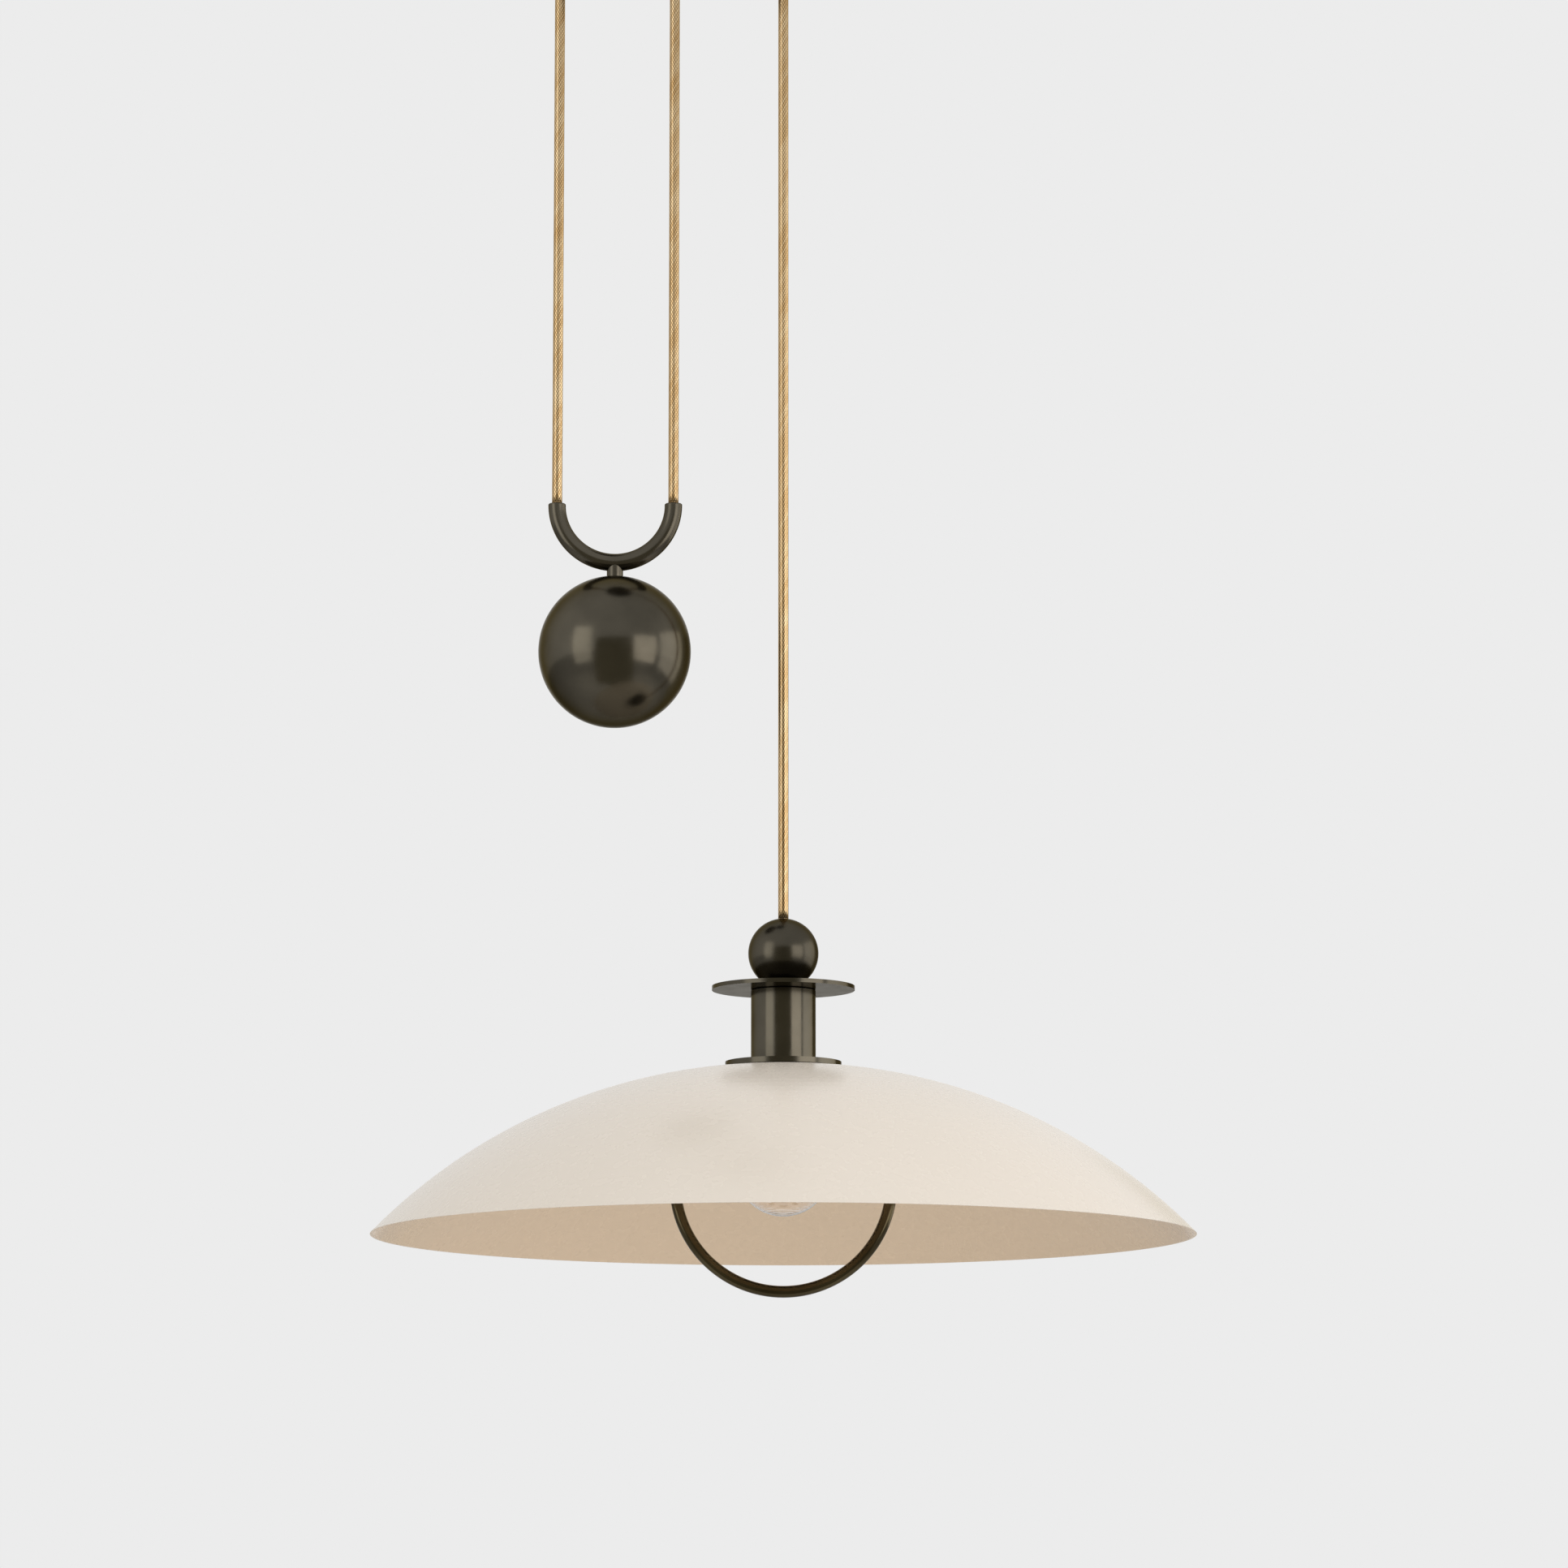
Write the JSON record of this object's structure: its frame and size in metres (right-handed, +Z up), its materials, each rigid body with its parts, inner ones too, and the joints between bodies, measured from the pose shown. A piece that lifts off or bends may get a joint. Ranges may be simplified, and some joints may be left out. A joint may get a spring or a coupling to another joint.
{
  "type": "rise and fall pendant",
  "caption": "Rise and fall pendant: a domed shade on a braided cord that runs over a ceiling pulley and through the guide of a hanging counterweight ball.",
  "frame": {"origin": "on the ceiling plane, at the middle of the ceiling plate and its two screw slots", "axes": "+Z points up at the ceiling, so the pendant hangs along -Z; +X points from the counterweight's side to the lamp's side; the cords hang in the plane Y = 0"},
  "size_m": [0.508, 0.508, 0.957],
  "materials": {
    "bronze_steel": "satin",
    "cream_aluminium": "satin",
    "zinc_steel": "satin",
    "brass": "satin",
    "bearing_bronze": "satin",
    "white_plastic": "matte",
    "black_plastic": "matte",
    "lead_insulation": "satin",
    "gold_braid": "satin",
    "gasket_fibre": "matte",
    "porcelain": "gloss",
    "clear_glass": "polished",
    "tungsten": "satin"
  },
  "bodies": {
    "ceiling_fitting": {"ceiling_plate": "zinc_steel", "canopy_cover": "bronze_steel", "canopy_screws": "bronze_steel", "anchor_cord_bushing": "black_plastic", "riser_cord_bushing": "black_plastic", "lamp_cord_bushing": "black_plastic", "pulley_yoke": "zinc_steel", "bracket_screws": "zinc_steel", "pulley_axle": "zinc_steel", "axle_clip": "zinc_steel", "thrust_washers": "bearing_bronze", "anchor_bracket": "zinc_steel", "clamp_base": "white_plastic", "clamp_cap": "white_plastic", "clamp_screws": "zinc_steel", "terminal_block": "white_plastic", "terminal_screws": "brass", "block_screw": "zinc_steel", "earth_screw": "brass", "canopy_leads": "lead_insulation", "clamped_cord": "gold_braid", "anchored_cord": "gold_braid", "riser_cord": "gold_braid", "cord_over_pulley": "gold_braid", "lamp_cord": "gold_braid"},
    "pulley": {"pulley_wheel": "brass", "pulley_bush": "bearing_bronze"},
    "counterweight": {"cord_guide": "bronze_steel", "guide_liner": "white_plastic", "weight_stem": "bronze_steel", "weight_ball": "bronze_steel", "looped_cord": "gold_braid"},
    "lamp": {"cord_ball": "bronze_steel", "ball_grommet": "black_plastic", "grip_screw": "zinc_steel", "top_disc": "bronze_steel", "threaded_nipple": "brass", "lock_nut": "brass", "neck_cap": "bronze_steel", "neck_tube": "bronze_steel", "shade_flange": "bronze_steel", "shade": "cream_aluminium", "shade_gasket": "gasket_fibre", "handle_collar": "bronze_steel", "handle_ring": "bronze_steel", "handle_screws": "zinc_steel", "lampholder_cap": "brass", "lampholder_body": "porcelain", "screw_shell": "brass", "centre_contact": "brass", "holder_leads": "lead_insulation", "holder_cord": "gold_braid", "bulb_glass": "clear_glass", "bulb_cap": "brass", "bulb_contact": "black_plastic", "bulb_stem": "clear_glass", "filament": "tungsten"}
  },
  "joints": [
    {"name": "lamp_slide", "type": "slide", "parent": "ceiling_fitting", "child": "lamp", "axis": [0, 0, 1], "range_m": [-0.63, 0.13], "deforming": ["lamp_cord"]},
    {"name": "counterweight_slide", "type": "slide", "parent": "ceiling_fitting", "child": "counterweight", "axis": [0, 0, 1], "range_m": [-0.065, 0.315], "deforming": ["anchored_cord", "riser_cord"]},
    {"name": "pulley_spin", "type": "hinge", "parent": "ceiling_fitting", "child": "pulley", "pos_m": [0.0365, 0, -0.0495], "axis": [0, 1, 0], "continuous": true}
  ],
  "couplings": [
    {"joint": "counterweight_slide", "follows": "lamp_slide", "ratio": -0.5},
    {"joint": "pulley_spin", "follows": "lamp_slide", "rad_per_m": -28.986}
  ]
}
